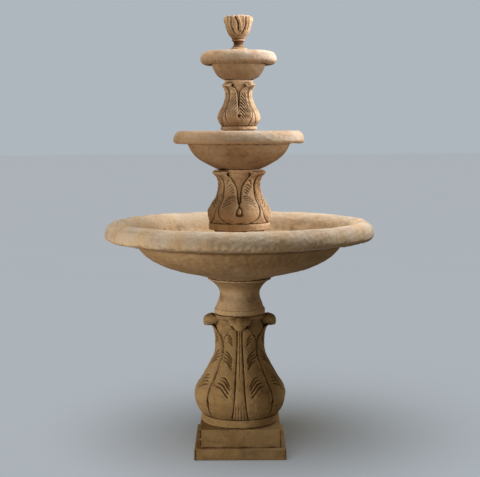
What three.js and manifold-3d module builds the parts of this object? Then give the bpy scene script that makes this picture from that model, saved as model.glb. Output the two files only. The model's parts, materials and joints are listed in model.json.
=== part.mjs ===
// A three-tier garden fountain in cast stone: a square plinth, a carved baluster pedestal,
// a bowl stem, a wide basin with a hidden pump chamber, and two more carved pedestals that
// carry a middle and a top bowl under a tulip finial. Water rises through tubes and brass
// nipples on the axis. Millimetres, +Z up, origin on the ground at the centre of the plinth.

import * as THREE from 'three';
import { mergeVertices } from 'three/addons/utils/BufferGeometryUtils.js';
import Module from 'manifold-3d';

const wasm = await Module();
wasm.setup();

// ---- Driving dimensions -------------------------------------------------------------

const JOINT = 2.6;              // gap between stacked castings, filled by a rubber gasket
const GAP = 0.3;                // clearance between pieces that touch

const PLINTH = { slab: 397, slabHeight: 50, die: 353, top: 129, core: 95, cordHole: 16, cordHeight: 26 };

const LEVEL = {                 // heights of the joints between castings
  plinthTop: PLINTH.top,
  stemFoot: 612,
  basinFoot: 772,
  basinFloor: 822,
  basinRim: 1023,
  chamberTop: 983,
  middleBowlFoot: 1250.6,
  middleBowlFloor: 1290,
  middleRim: 1416,
  topBowlFoot: 1636.6,
  topBowlFloor: 1668,
  topRim: 1757,
  top: 1911,
};

const BASIN = { rim: 590, crest: 536, throat: 449, foot: 140 };
const MIDDLE_BOWL = { rim: 286, crest: 251, throat: 228, foot: 101, hub: 72 };
const TOP_BOWL = { rim: 166, crest: 136, throat: 117, foot: 70, hub: 40 };
const CHAMBER = {
  outer: 112, inner: 86, foot: 124, footHeight: 18, lid: 30, mouth: 30, slotWidth: 34, slotHeight: 24,
};
const FINIAL = { flange: 40, bore: 9.4, pocket: 18, pocketDepth: 14, cupFloor: 1832, notch: 22 };
const STOPPER = { offset: 58, top: 20, bottom: 17.5, flange: 25, length: 30, cordRadius: 3.5 };

const TUBE = { inner: 6.7, outer: 9.5 };            // 13 mm bore vinyl supply tube
const NIPPLE = { barb: 6.4, thread: 8, bore: 4.5, barbLength: 24, threadBeyond: 14 };
const NUT = { acrossFlats: 26, height: 8 };
const WASHER = { outer: 16, thickness: 2 };
const HUB_BORE = 8.4;

const PUMP = {
  axis: 868,                    // height of the rotor axis
  motorBack: -66, motorFront: -20.3, halfWidth: 31, bottom: 834, top: 901,
  volute: 32, chamber: 24, voluteBack: -20, voluteFront: 20, wall: 6,
  well: 11, rotor: 10, magnetFront: -12, shaft: 1.5, impeller: 20, vanes: 6,
  sealSeat: 28, sealSection: 1.5, inletSlots: 8,
  outlet: 11, outletBore: 7.6, outletTop: 917, adapterPlug: 14, adapterCollar: 5, barbTop: 946,
};

// ---- Materials ----------------------------------------------------------------------

const finish = (color, roughness, metalness) =>
  new THREE.MeshStandardMaterial({ color, roughness, metalness });

const STONE_DARK = finish(0x8a7350, 0.9, 0);
const STONE_WARM = finish(0xa68a63, 0.9, 0);
const STONE_PALE = finish(0xc0a27e, 0.9, 0);
const RUBBER = finish(0x1d1c1b, 0.8, 0);
const VINYL = finish(0xc9cdc6, 0.3, 0);
const BRASS = finish(0xb08d4c, 0.35, 1);
const PLASTIC = finish(0x23262a, 0.5, 0);
const GREY_PLASTIC = finish(0x5a5f63, 0.5, 0);
const CERAMIC = finish(0xe8e6df, 0.25, 0);
const MAGNET = finish(0x4b4a49, 0.45, 0.6);

// ---- Geometry helpers ---------------------------------------------------------------

const fountain = new THREE.Group();

function add(name, geometry, material) {
  const mesh = new THREE.Mesh(geometry, material);
  mesh.name = name;
  fountain.add(mesh);
  return mesh;
}

function signedVolume(geometry) {
  const position = geometry.attributes.position;
  const corner = [0, 1, 2].map(() => new THREE.Vector3());
  const index = geometry.index;
  let volume = 0;
  for (let i = 0; i < index.count; i += 3) {
    corner.forEach((point, k) => point.fromBufferAttribute(position, index.getX(i + k)));
    volume += corner[0].dot(corner[1].cross(corner[2])) / 6;
  }
  return volume;
}

// One closed, outward-facing mesh with shared vertices.
function closed(source) {
  const bare = source.clone();
  bare.deleteAttribute('normal');
  bare.deleteAttribute('uv');
  const geometry = mergeVertices(bare, 1e-3);
  const kept = [];
  const index = geometry.index;
  for (let i = 0; i < index.count; i += 3) {
    const [a, b, c] = [index.getX(i), index.getX(i + 1), index.getX(i + 2)];
    if (a !== b && b !== c && a !== c) kept.push(a, b, c);
  }
  geometry.setIndex(kept);
  if (signedVolume(geometry) < 0) {
    for (let i = 0; i < kept.length; i += 3) {
      [kept[i], kept[i + 1]] = [kept[i + 1], kept[i]];
    }
    geometry.setIndex(kept);
  }
  geometry.computeVertexNormals();
  return geometry;
}

function toSolid(source) {
  const geometry = closed(source);
  return new wasm.Manifold(new wasm.Mesh({
    numProp: 3,
    vertProperties: new Float32Array(geometry.attributes.position.array),
    triVerts: new Uint32Array(geometry.index.array),
  }));
}

function fromSolid(solid) {
  const mesh = solid.getMesh();
  const geometry = new THREE.BufferGeometry();
  geometry.setAttribute('position', new THREE.BufferAttribute(new Float32Array(mesh.vertProperties), 3));
  geometry.setIndex(Array.from(mesh.triVerts));
  return closed(geometry);
}

// Cuts a list of tools out of a body, after joining a list of additions to it.
function shape(body, additions = [], cuts = []) {
  let solid = toSolid(body);
  additions.forEach((piece) => { solid = solid.add(toSolid(piece)); });
  cuts.forEach((piece) => { solid = solid.subtract(toSolid(piece)); });
  return fromSolid(solid);
}

// Revolves a closed outline of [radius, height] points about the Z axis.
function revolve(outline, segments) {
  const loop = [...outline, outline[0]].map(([r, z]) => new THREE.Vector2(r, z));
  return new THREE.LatheGeometry(loop, segments).rotateX(Math.PI / 2);
}

function ring(inner, outer, bottom, top, segments = 12) {
  return closed(revolve([[inner, bottom], [outer, bottom], [outer, top], [inner, top]], segments));
}

function disc(radius, bottom, top, segments = 16) {
  return new THREE.CylinderGeometry(radius, radius, top - bottom, segments)
    .rotateX(Math.PI / 2).translate(0, 0, (bottom + top) / 2);
}

function block(width, depth, height, x, y, z) {
  return new THREE.BoxGeometry(width, depth, height).translate(x, y, z);
}

// Lays a shape that was made about the Z axis along the rotor axis of the pump.
const onRotorAxis = (geometry) => geometry.rotateY(Math.PI / 2).translate(0, 0, PUMP.axis);

// A smooth run of [radius, height] points through a few chosen ones.
function smooth(points, count) {
  const curve = new THREE.SplineCurve(points.map(([r, z]) => new THREE.Vector2(r, z)));
  return curve.getSpacedPoints(count).map((point) => [point.x, point.y]);
}

// An arc of an ellipse in the outline, from one angle to another in degrees.
function arc(radius, height, halfWidth, halfHeight, from, to, count) {
  return Array.from({ length: count + 1 }, (_, i) => {
    const angle = THREE.MathUtils.degToRad(from + ((to - from) * i) / count);
    return [radius + halfWidth * Math.cos(angle), height + halfHeight * Math.sin(angle)];
  });
}

// ---- Carved pedestals and finial ----------------------------------------------------

const LEAVES = 4;

// Angle from the nearest leaf's midrib, from 0 to a half leaf.
function fromMidrib(angle, turn) {
  const leaf = (2 * Math.PI) / LEAVES;
  const offset = angle - turn;
  return Math.abs(offset - leaf * Math.round(offset / leaf));
}

const HALF_LEAF = Math.PI / LEAVES;

// How deep the groove between two leaves is at an angle: 1 on the boundary, 0 on the leaf.
const boundary = (away) => THREE.MathUtils.smoothstep(away, HALF_LEAF * 0.72, HALF_LEAF);

// How much of the curled tip shows at an angle: 1 on the midrib, 0 past its side.
const tipWidth = (away) => 1 - THREE.MathUtils.smoothstep(away, HALF_LEAF * 0.3, HALF_LEAF * 0.62);

// A revolved outline whose outer run is carved into four leaves with curled tips.
function carved(spec) {
  const { outer, inner, segments, turn, groove, grooveFrom, tip } = spec;
  const geometry = revolve([...outer, ...inner], segments);
  const position = geometry.attributes.position;
  const rows = outer.length + inner.length + 1;
  for (let i = 0; i < position.count; i += 1) {
    if (i % rows >= outer.length) continue;
    const [x, y, z] = [position.getX(i), position.getY(i), position.getZ(i)];
    const away = fromMidrib(Math.atan2(y, x), turn);
    const carvedHeight = THREE.MathUtils.smoothstep(z, grooveFrom, grooveFrom + 2 * groove);
    const curl = Math.max(0, 1 - ((z - tip.height) / tip.half) ** 2);
    const radius = Math.hypot(x, y);
    const shift = tip.reach * Math.sqrt(curl) * tipWidth(away) - groove * carvedHeight * boundary(away);
    const onCollar = z > tip.height + tip.half;
    const scale = (radius + (onCollar ? 0 : shift)) / radius;
    position.setXYZ(i, x * scale, y * scale, z);
  }
  return closed(geometry);
}

// ---- Castings -----------------------------------------------------------------------

function plinth() {
  const { slab, slabHeight, die, top, core, cordHole, cordHeight } = PLINTH;
  const body = block(slab, slab, slabHeight, 0, 0, slabHeight / 2);
  const upper = block(die, die, top - slabHeight + 1, 0, 0, (top + slabHeight - 1) / 2);
  const hollow = disc(core, -1, top + 1, 24);
  const cordWay = new THREE.CylinderGeometry(cordHole, cordHole, slab / 2, 16)
    .translate(0, slab / 4 + core / 2, cordHeight);
  add('plinth', shape(body, [upper], [hollow, cordWay]), STONE_DARK);
}

function cordGrommet() {
  const bore = 10.5;
  const face = PLINTH.slab / 2;
  const outline = [[bore, 0], [PLINTH.cordHole - GAP * 2, 0], [PLINTH.cordHole - GAP * 2, 24],
    [20, 24], [20, 27], [bore, 27]];
  const sleeve = revolve(outline, 16).rotateX(-Math.PI / 2)
    .translate(0, face - 24 + GAP, PLINTH.cordHeight);
  add('cord_grommet', closed(sleeve), RUBBER);
}

function lowerPedestal() {
  const foot = LEVEL.plinthTop + JOINT;
  const head = LEVEL.stemFoot - JOINT;
  const outer = [
    [158, foot],
    ...arc(158, foot + 17, 14, 17, -70, 80, 3),
    ...smooth([[168, 169], [183, 183], [200, 223], [200, 262], [176, 316], [144, 368],
      [117, 423], [108, 468], [108, 505], [112, 545], [110, 596]], 16),
    [108, head],
  ];
  const inner = [[60, head], [60, foot]];
  const tip = { height: 578, half: 28, reach: 47 };
  add('lower_pedestal', carved({
    outer, inner, segments: 24, turn: 0, groove: 11, grooveFrom: 175, tip,
  }), STONE_DARK);
}

function bowlStem() {
  const foot = LEVEL.stemFoot;
  const head = LEVEL.basinFoot - JOINT;
  const outer = [
    [108, foot],
    [112, foot + 5],
    [112, foot + 22],
    ...smooth([[109, foot + 29], [96, 666], [88, 702], [98, 729], [122, 752], [140, head - 3]], 9),
    [140, head],
  ];
  const inner = [[84, head], [84, head - 30], [50, head - 30], [50, foot]];
  add('bowl_stem', closed(revolve([...outer, ...inner], 24)), STONE_WARM);
}

function basin() {
  const { rim, crest, throat, foot } = BASIN;
  const foot0 = LEVEL.basinFoot;
  const lipMiddle = 962;
  const outline = [
    [0, foot0], [foot, foot0],
    ...smooth([[180, 787], [233, 800], [319, 823], [389, 856], [429, 889], [throat, 916]], 6),
    [462, 930],
    ...arc(crest, lipMiddle, rim - crest, lipMiddle - 938, -95, 0, 4),
    ...arc(crest, lipMiddle, rim - crest, LEVEL.basinRim - lipMiddle, 25, 90, 3),
    ...smooth([[504, 1014], [478, 990], [450, 945], [400, 893], [330, 857], [230, 833],
      [135, LEVEL.basinFloor]], 8),
    [0, LEVEL.basinFloor],
  ];
  const { offset, top, bottom } = STOPPER;
  const depth = LEVEL.basinFloor - foot0;
  const drain = new THREE.CylinderGeometry(top, bottom, depth + 2, 20).rotateX(Math.PI / 2)
    .translate(0, offset, foot0 + depth / 2);
  add('basin', shape(revolve(outline, 36), [], [drain]), STONE_WARM);
}

function pumpChamber() {
  const { outer, inner, foot, footHeight, lid, mouth, slotWidth, slotHeight } = CHAMBER;
  const floor = LEVEL.basinFloor + GAP;
  const head = LEVEL.chamberTop;
  const wall = revolve([[inner, floor], [foot, floor], [foot, floor + footHeight],
    [outer, floor + footHeight + foot - outer], [outer, head], [mouth, head],
    [mouth, head - lid], [inner, head - lid]], 28);
  const slots = [0, 1, 2, 3].map((quarter) => block(outer, slotWidth, 2 * slotHeight, outer, 0, floor)
    .rotateZ((quarter * Math.PI) / 2));
  add('pump_chamber', shape(wall, [], slots), STONE_WARM);
}

function middlePedestal() {
  const foot = LEVEL.chamberTop + JOINT;
  const head = LEVEL.middleBowlFoot - JOINT;
  const outer = [
    [132, foot], [136, foot + 6], [136, foot + 24], [131, foot + 31],
    ...smooth([[131, 1020], [138, 1048], [137, 1068], [126, 1093], [106, 1122], [94, 1158],
      [93, 1190], [98, 1215], [100, 1238]], 11),
    [101, head],
  ];
  const inner = [[46, head], [46, foot]];
  const tip = { height: 1222, half: 19, reach: 42 };
  add('middle_pedestal', carved({
    outer, inner, segments: 24, turn: HALF_LEAF, groove: 8, grooveFrom: 1025, tip,
  }), STONE_PALE);
}

function middleBowl() {
  const { rim, crest, throat, foot, hub } = MIDDLE_BOWL;
  const lipMiddle = 1376;
  const outline = [
    [HUB_BORE, LEVEL.middleBowlFoot], [foot, LEVEL.middleBowlFoot],
    ...smooth([[132, 1267], [175, 1293], [206, 1324], [throat - 2, 1366]], 5),
    [274, 1363],
    ...arc(crest, lipMiddle, rim - crest, LEVEL.middleRim - lipMiddle, -15, 90, 4),
    ...smooth([[232, 1402], [216, 1372], [184, 1331], [135, 1302], [hub + 30, LEVEL.middleBowlFloor],
      [hub + 9, LEVEL.middleBowlFloor + 22], [hub, LEVEL.middleBowlFloor + 62]], 7),
    [hub, LEVEL.middleRim], [HUB_BORE, LEVEL.middleRim],
  ];
  add('middle_bowl', closed(revolve(outline, 28)), STONE_PALE);
}

function topPedestal() {
  const foot = LEVEL.middleRim + JOINT;
  const head = LEVEL.topBowlFoot - JOINT;
  const outer = [
    [75, foot], [79, foot + 4], [79, foot + 12], [76, foot + 17],
    ...smooth([[77, 1439], [88, 1455], [93, 1475], [86, 1499], [71, 1523], [60, 1552],
      [57, 1578], [59, 1604], [61, 1624]], 10),
    [61, head],
  ];
  const inner = [[30, head], [30, foot]];
  const tip = { height: 1604, half: 14, reach: 26 };
  add('top_pedestal', carved({
    outer, inner, segments: 24, turn: HALF_LEAF, groove: 6, grooveFrom: 1442, tip,
  }), STONE_PALE);
}

function topBowl() {
  const { rim, crest, throat, foot, hub } = TOP_BOWL;
  const lipMiddle = 1722;
  const outline = [
    [HUB_BORE, LEVEL.topBowlFoot], [foot, LEVEL.topBowlFoot],
    ...smooth([[90, 1650], [104, 1670], [throat, 1710]], 3),
    [crest, 1702],
    ...arc(crest, lipMiddle, rim - crest, lipMiddle - 1700, -60, 0, 2),
    ...arc(crest, lipMiddle, rim - crest, LEVEL.topRim - lipMiddle, 22, 90, 4),
    ...smooth([[122, 1746], [107, 1719], [84, 1691], [hub + 16, LEVEL.topBowlFloor],
      [hub + 4, LEVEL.topBowlFloor + 14], [hub, LEVEL.topBowlFloor + 36]], 6),
    [hub, LEVEL.topRim], [HUB_BORE, LEVEL.topRim],
  ];
  add('top_bowl', closed(revolve(outline, 24)), STONE_PALE);
}

function finial() {
  const { flange, bore, pocket, pocketDepth, cupFloor, notch } = FINIAL;
  const foot = LEVEL.topRim + JOINT;
  const outer = [
    [flange - 2, foot], [flange, foot + 8], [flange - 4, foot + 13],
    ...smooth([[27, 1781], [23, 1791], [27, 1801], [31, 1808], [29, 1814], [44, 1827],
      [57, 1851], [64, 1874], [66, 1888], [60, 1903], [52, LEVEL.top]], 12),
  ];
  const inner = [[46, 1904], [40, 1872], [20, cupFloor], [bore, cupFloor], [bore, foot + pocketDepth],
    [pocket, foot + pocketDepth], [pocket, foot]];
  const noTip = { height: LEVEL.top, half: 1, reach: 0 };
  const cup = carved({
    outer, inner, segments: 24, turn: HALF_LEAF, groove: 7, grooveFrom: 1822, tip: noTip,
  });
  const position = cup.attributes.position;
  for (let i = 0; i < position.count; i += 1) {
    const [x, y, z] = [position.getX(i), position.getY(i), position.getZ(i)];
    const dip = notch * boundary(fromMidrib(Math.atan2(y, x), HALF_LEAF));
    const share = THREE.MathUtils.smoothstep(z, 1860, LEVEL.top);
    position.setZ(i, z - dip * share);
  }
  add('finial', closed(cup), STONE_PALE);
}

// ---- Gaskets between the castings ---------------------------------------------------

function gaskets() {
  const seats = [
    ['gasket_plinth', 122, 152, LEVEL.plinthTop],
    ['gasket_stem', 62, 98, LEVEL.stemFoot - JOINT],
    ['gasket_basin', 90, 130, LEVEL.basinFoot - JOINT],
    ['gasket_middle_pedestal', 60, 104, LEVEL.chamberTop],
    ['gasket_middle_bowl', 50, 92, LEVEL.middleBowlFoot - JOINT],
    ['gasket_top_pedestal', 34, 66, LEVEL.middleRim],
    ['gasket_top_bowl', 34, 58, LEVEL.topBowlFoot - JOINT],
    ['gasket_finial', 21, 34, LEVEL.topRim],
  ];
  seats.forEach(([name, inner, outer, bottom]) => {
    add(name, ring(inner, outer, bottom + GAP, bottom + JOINT - GAP), RUBBER);
  });
}

// ---- Drain stopper ------------------------------------------------------------------

function drainStopper() {
  const { offset, top, bottom, flange, length, cordRadius } = STOPPER;
  const deck = LEVEL.basinFloor + GAP;
  const taper = ((top - bottom) * length) / (LEVEL.basinFloor - LEVEL.basinFoot);
  const outline = [
    [cordRadius, deck - length], [top - taper - 0.8, deck - length], [top - 0.8, deck],
    [flange, deck], [flange, deck + 4], [cordRadius, deck + 4],
  ];
  add('drain_stopper', closed(revolve(outline, 16).translate(0, offset, 0)), RUBBER);
}

// ---- Submersible pump ---------------------------------------------------------------

function pumpMotor() {
  const { motorBack, motorFront, halfWidth, bottom, top, axis, well } = PUMP;
  const length = motorFront - motorBack;
  const chamfer = 8;
  const outline = new THREE.Shape([
    [-halfWidth + chamfer, bottom - axis], [halfWidth - chamfer, bottom - axis],
    [halfWidth, bottom - axis + chamfer], [halfWidth, top - axis - chamfer],
    [halfWidth - chamfer, top - axis], [-halfWidth + chamfer, top - axis],
    [-halfWidth, top - axis - chamfer], [-halfWidth, bottom - axis + chamfer],
  ].map(([y, z]) => new THREE.Vector2(-z, y)));
  const body = onRotorAxis(new THREE.ExtrudeGeometry(outline, { depth: length, bevelEnabled: false })
    .translate(0, 0, motorBack));
  const rotorWell = onRotorAxis(disc(well, motorBack + 6, motorFront + 1));
  const glandSeat = disc(5, top - 8, top + 1, 12).translate(motorBack + 14, 0, 0);
  add('pump_motor', shape(body, [], [rotorWell, glandSeat]), PLASTIC);
}

function pumpGland() {
  const { motorBack, top } = PUMP;
  const outline = [[2.6, top - 7], [4.6, top - 7], [4.6, top + GAP], [8, top + GAP],
    [8, top + 5], [4.4, top + 14], [2.6, top + 14]];
  add('pump_cord_gland', closed(revolve(outline, 12).translate(motorBack + 14, 0, 0)), RUBBER);
}

function pumpVolute() {
  const { volute, chamber, voluteBack, voluteFront, wall, well, outlet, outletTop, axis } = PUMP;
  const { outletBore, sealSeat, sealSection } = PUMP;
  const body = onRotorAxis(disc(volute, voluteBack, voluteFront, 20));
  const neck = disc(outlet, axis + chamber + 2, outletTop);
  const cuts = [
    onRotorAxis(disc(chamber, voluteBack + wall, voluteFront + 1, 20)),
    onRotorAxis(disc(sealSeat, voluteFront - 2 * sealSection - 0.5, voluteFront + 1, 20)),
    onRotorAxis(disc(well, voluteBack - 1, voluteFront)),
    disc(outletBore, axis, outletTop + 1),
  ];
  add('pump_volute', shape(body, [neck], cuts), PLASTIC);
}

function pumpRotor() {
  const { rotor, shaft, impeller, motorBack, magnetFront, vanes } = PUMP;
  const bore = shaft + 0.1;
  const disk = magnetFront + GAP;
  add('rotor_magnet', onRotorAxis(ring(bore, rotor, motorBack + 12, magnetFront, 16)), MAGNET);
  const hub = onRotorAxis(revolve([[bore, disk], [impeller, disk], [impeller, disk + 2.2],
    [5, disk + 2.2], [5, 8], [bore, 8]], 16));
  const blades = Array.from({ length: vanes }, (_, i) => block(14, 1.8, 16, 11.5, 0, -2.5)
    .rotateZ((i * 2 * Math.PI) / vanes));
  add('impeller', shape(hub, blades.map(onRotorAxis)), GREY_PLASTIC);
  add('rotor_shaft', onRotorAxis(closed(disc(shaft, motorBack + 8, 15))), CERAMIC);
}

function pumpBushings() {
  const { shaft, motorBack } = PUMP;
  const bore = shaft + 0.15;
  add('shaft_bush_rear', onRotorAxis(ring(bore, 8, motorBack + 7, motorBack + 11)), RUBBER);
  add('shaft_bush_front', onRotorAxis(ring(bore, 4, 9.5, 13.5)), RUBBER);
}

function pumpFront() {
  const { volute, voluteFront, chamber, sealSeat, sealSection, inletSlots } = PUMP;
  const face = voluteFront + GAP;
  const coverThickness = 4;
  const slot = (height) => Array.from({ length: inletSlots }, (_, i) => onRotorAxis(
    block(9, 3.4, 2 * coverThickness, 14, 0, height).rotateZ((i * 2 * Math.PI) / inletSlots)));
  const cover = onRotorAxis(disc(volute, face, face + coverThickness, 20));
  const spigot = onRotorAxis(ring(chamber - 3, chamber - 0.7, 12, face + 1, 20));
  const boss = onRotorAxis(disc(6.5, 9, face + 1, 12));
  const pivot = onRotorAxis(disc(3, face, face + 9, 12));
  const seat = onRotorAxis(disc(4.3, 8, 15.5, 12));
  const cuts = [...slot(face + coverThickness / 2), seat];
  add('pump_front_cover', shape(cover, [spigot, boss, pivot], cuts), PLASTIC);
  const seal = new THREE.TorusGeometry(sealSeat - 2, sealSection, 6, 16).rotateY(Math.PI / 2)
    .translate(voluteFront - sealSection - 0.2, 0, PUMP.axis);
  add('cover_o_ring', closed(seal), RUBBER);
  const dialBack = face + coverThickness + GAP;
  const dial = onRotorAxis(ring(3.3, 21, dialBack, dialBack + 3, 20));
  const lug = onRotorAxis(block(5, 4, 5, 18.4, 0, dialBack + 4)
    .rotateZ(Math.PI / inletSlots));
  add('flow_dial', shape(dial, [lug], slot(dialBack)), GREY_PLASTIC);
}

function pumpFeet() {
  const floor = LEVEL.basinFloor + GAP;
  const under = PUMP.bottom - GAP;
  const places = [['rear_left', -56, 20], ['rear_right', -56, -20], ['front_left', -30, 20],
    ['front_right', -30, -20]];
  places.forEach(([name, x, y]) => {
    const outline = [[3, floor], [9, floor], [4.5, floor + 6], [4.5, under], [1.5, under], [1.5, floor + 5]];
    add(`pump_foot_${name}`, closed(revolve(outline, 8).translate(x, y, 0)), RUBBER);
  });
}

function pumpOutlet() {
  const { outlet, outletBore, outletTop, adapterPlug, adapterCollar, barbTop } = PUMP;
  const { bore, barb } = NIPPLE;
  const plug = outletBore - GAP;
  const seat = outletTop + GAP;
  const shoulder = outletTop + adapterCollar;
  const outline = [[bore, outletTop - adapterPlug], [plug, outletTop - adapterPlug], [plug, seat],
    [outlet, seat], [outlet, shoulder], [barb, shoulder], [barb, barbTop], [bore, barbTop]];
  add('outlet_adapter', closed(revolve(outline, 12)), GREY_PLASTIC);
}

// ---- Water way on the axis ----------------------------------------------------------

function nipple(name, bottom, threadBottom, threadTop, top) {
  const { bore, barb, thread } = NIPPLE;
  const outline = [[bore, bottom], [barb, bottom], [barb, threadBottom], [thread, threadBottom],
    [thread, threadTop], [barb, threadTop], [barb, top], [bore, top]];
  add(name, closed(revolve(outline, 12)), BRASS);
}

function locknut(name, bottom) {
  const corner = NUT.acrossFlats / Math.sqrt(3);
  const hexagon = new THREE.CylinderGeometry(corner, corner, NUT.height, 6)
    .rotateX(Math.PI / 2).translate(0, 0, bottom + NUT.height / 2);
  add(name, shape(hexagon, [], [disc(NIPPLE.thread + 0.25, bottom - 1, bottom + NUT.height + 1)]), BRASS);
}

// The nipple that passes up through a bowl, with its washers and locknuts.
function bowlFitting(bowl, under, over, lowerEnd, upperEnd) {
  const grip = WASHER.thickness + GAP;
  const { threadBeyond } = NIPPLE;
  nipple(`nipple_${bowl}`, lowerEnd, under - threadBeyond, over + threadBeyond, upperEnd);
  add(`washer_${bowl}_lower`, ring(HUB_BORE, WASHER.outer, under - grip, under - GAP), RUBBER);
  add(`washer_${bowl}_upper`, ring(HUB_BORE, WASHER.outer, over + GAP, over + grip), RUBBER);
  locknut(`locknut_${bowl}_lower`, under - grip - GAP - NUT.height);
  locknut(`locknut_${bowl}_upper`, over + grip + GAP);
}

function waterWay() {
  const { barbLength, threadBeyond } = NIPPLE;
  const reach = threadBeyond + barbLength;
  const middleTail = LEVEL.middleBowlFoot - reach;
  const middleHead = LEVEL.middleRim + reach;
  const topTail = LEVEL.topBowlFoot - reach;
  const topHead = LEVEL.topRim + reach;
  bowlFitting('middle_bowl', LEVEL.middleBowlFoot, LEVEL.middleRim, middleTail, middleHead);
  bowlFitting('top_bowl', LEVEL.topBowlFoot, LEVEL.topRim, topTail, topHead);
  const tubes = [
    ['supply_tube_lower', PUMP.outletTop + PUMP.adapterCollar + GAP, middleTail + barbLength - GAP],
    ['supply_tube_upper', middleHead - barbLength + GAP, topTail + barbLength - GAP],
  ];
  tubes.forEach(([name, bottom, top]) => add(name, ring(TUBE.inner, TUBE.outer, bottom, top), VINYL));
}

function spout() {
  const floor = FINIAL.cupFloor;
  const stem = FINIAL.bore - 2 * GAP;
  const bottom = LEVEL.topRim + NIPPLE.threadBeyond + 1;
  const outline = [[TUBE.inner, bottom], [stem, bottom], [stem, floor + GAP],
    [13, floor + GAP], [13, floor + 3], [9, floor + 9], [4, floor + 9], [TUBE.inner, floor - 6]];
  add('spout', closed(revolve(outline, 12)), BRASS);
}

plinth();
cordGrommet();
lowerPedestal();
bowlStem();
basin();
pumpChamber();
middlePedestal();
middleBowl();
topPedestal();
topBowl();
finial();
gaskets();
drainStopper();
pumpMotor();
pumpGland();
pumpVolute();
pumpRotor();
pumpBushings();
pumpFront();
pumpFeet();
pumpOutlet();
waterWay();
spout();

export default fountain;
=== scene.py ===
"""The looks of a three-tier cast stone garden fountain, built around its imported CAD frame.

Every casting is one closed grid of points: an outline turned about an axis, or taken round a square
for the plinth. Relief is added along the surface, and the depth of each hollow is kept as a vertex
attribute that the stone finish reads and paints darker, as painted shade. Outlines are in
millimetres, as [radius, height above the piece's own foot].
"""

import json
import math

import bpy
import numpy as np
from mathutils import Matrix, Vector


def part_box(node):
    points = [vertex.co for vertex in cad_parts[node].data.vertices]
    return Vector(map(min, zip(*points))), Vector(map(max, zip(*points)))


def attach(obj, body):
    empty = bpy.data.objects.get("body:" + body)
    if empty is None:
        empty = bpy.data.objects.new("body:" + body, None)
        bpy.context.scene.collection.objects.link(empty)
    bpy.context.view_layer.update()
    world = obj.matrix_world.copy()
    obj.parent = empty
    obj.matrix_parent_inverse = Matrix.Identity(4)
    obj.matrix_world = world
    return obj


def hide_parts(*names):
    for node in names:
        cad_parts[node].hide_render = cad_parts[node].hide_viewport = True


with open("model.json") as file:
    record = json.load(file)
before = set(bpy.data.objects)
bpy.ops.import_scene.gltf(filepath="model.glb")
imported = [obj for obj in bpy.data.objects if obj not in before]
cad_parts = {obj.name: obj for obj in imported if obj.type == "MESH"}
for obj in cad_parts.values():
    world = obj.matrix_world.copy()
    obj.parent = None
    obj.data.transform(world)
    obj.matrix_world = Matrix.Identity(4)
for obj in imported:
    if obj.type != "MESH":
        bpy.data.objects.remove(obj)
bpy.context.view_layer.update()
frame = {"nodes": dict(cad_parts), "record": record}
BODY_OF = {node: body for body, nodes in frame["record"]["behaviour"]["bodies"].items()
           for node in nodes}

MM = 0.001


def extent(node):
    """The foot, head and half width of a CAD node, in millimetres."""
    low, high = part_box(node)
    return low.z / MM, high.z / MM, (high.x - low.x) / 2 / MM


# ---- Numbers and curves ----


def smoothstep(low, high, value):
    t = np.clip((value - low) / (high - low), 0, 1)
    return t * t * (3 - 2 * t)


def ridge(distance, width):
    """1 at no distance, falling smoothly to nothing at about two widths."""
    return np.exp(-((distance / width) ** 2))


def table(value, pairs):
    """A value read between a few chosen (position, value) pairs."""
    places, values = zip(*sorted(pairs))
    return np.interp(value, places, values)


def spaced(points, count):
    """The same line, as a number of evenly spaced points."""
    points = np.asarray(points, float)
    steps = np.hypot(*np.diff(points, axis=0).T)
    length = np.concatenate([[0], np.cumsum(steps)])
    places = np.linspace(0, length[-1], count)
    return np.stack([np.interp(places, length, points[:, k]) for k in (0, 1)], axis=1)


def through(knots, places):
    """A Catmull-Rom curve through knots along the first axis, read at places counted in knots."""
    p = np.concatenate([2 * knots[:1] - knots[1:2], knots, 2 * knots[-1:] - knots[-2:-1]])
    start = np.minimum(places.astype(int), len(knots) - 2)
    t = (places - start).reshape(-1, *[1] * (knots.ndim - 1))
    a, b, c, d = (p[start + k] for k in range(4))
    return 0.5 * (2 * b + (c - a) * t + (2 * a - 5 * b + 4 * c - d) * t**2
                  + (3 * b - a - 3 * c + d) * t**3)


def smooth(points, count):
    """A curve through a few points, evenly spaced."""
    points = np.asarray(points, float)
    return spaced(through(points, np.linspace(0, len(points) - 1, 24 * len(points))), count)


def straight(start, end, count):
    return np.linspace(start, end, count)


def arc(centre, half_width, half_height, start, end, count):
    """An arc of an ellipse from one angle to another, in degrees."""
    angle = np.radians(np.linspace(start, end, count))
    return np.stack([centre[0] + half_width * np.cos(angle),
                     centre[1] + half_height * np.sin(angle)], axis=1)


def joined(*runs):
    """Runs of points end to end, without the points that two of them share."""
    points = np.vstack(runs)
    kept = np.hypot(*np.diff(points, axis=0, append=points[:1]).T) > 0.02
    return points[kept]


# ---- Grids of points ----


def placed(name, data):
    """A new object in the scene."""
    made = bpy.data.objects.new(name, data)
    bpy.context.scene.collection.objects.link(made)
    return made


def turned(outline, columns, centre_y=0):
    """A closed outline revolved about the Z axis, as rows of points. centre_y may vary by row."""
    angle = np.linspace(0, 2 * math.pi, columns, endpoint=False)
    radius, height = outline[:, :1], outline[:, 1:]
    shift = np.broadcast_to(np.reshape(centre_y, (-1, 1)), radius.shape)
    return np.stack([radius * np.cos(angle), radius * np.sin(angle) + shift,
                     np.broadcast_to(height, (len(outline), columns))], axis=2)


def normals(grid):
    across = np.roll(grid, -1, axis=1) - np.roll(grid, 1, axis=1)
    along = np.roll(grid, -1, axis=0) - np.roll(grid, 1, axis=0)
    facing = np.cross(across, along)
    size = np.linalg.norm(facing, axis=2, keepdims=True)
    return facing / np.maximum(size, 1e-9)


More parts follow.
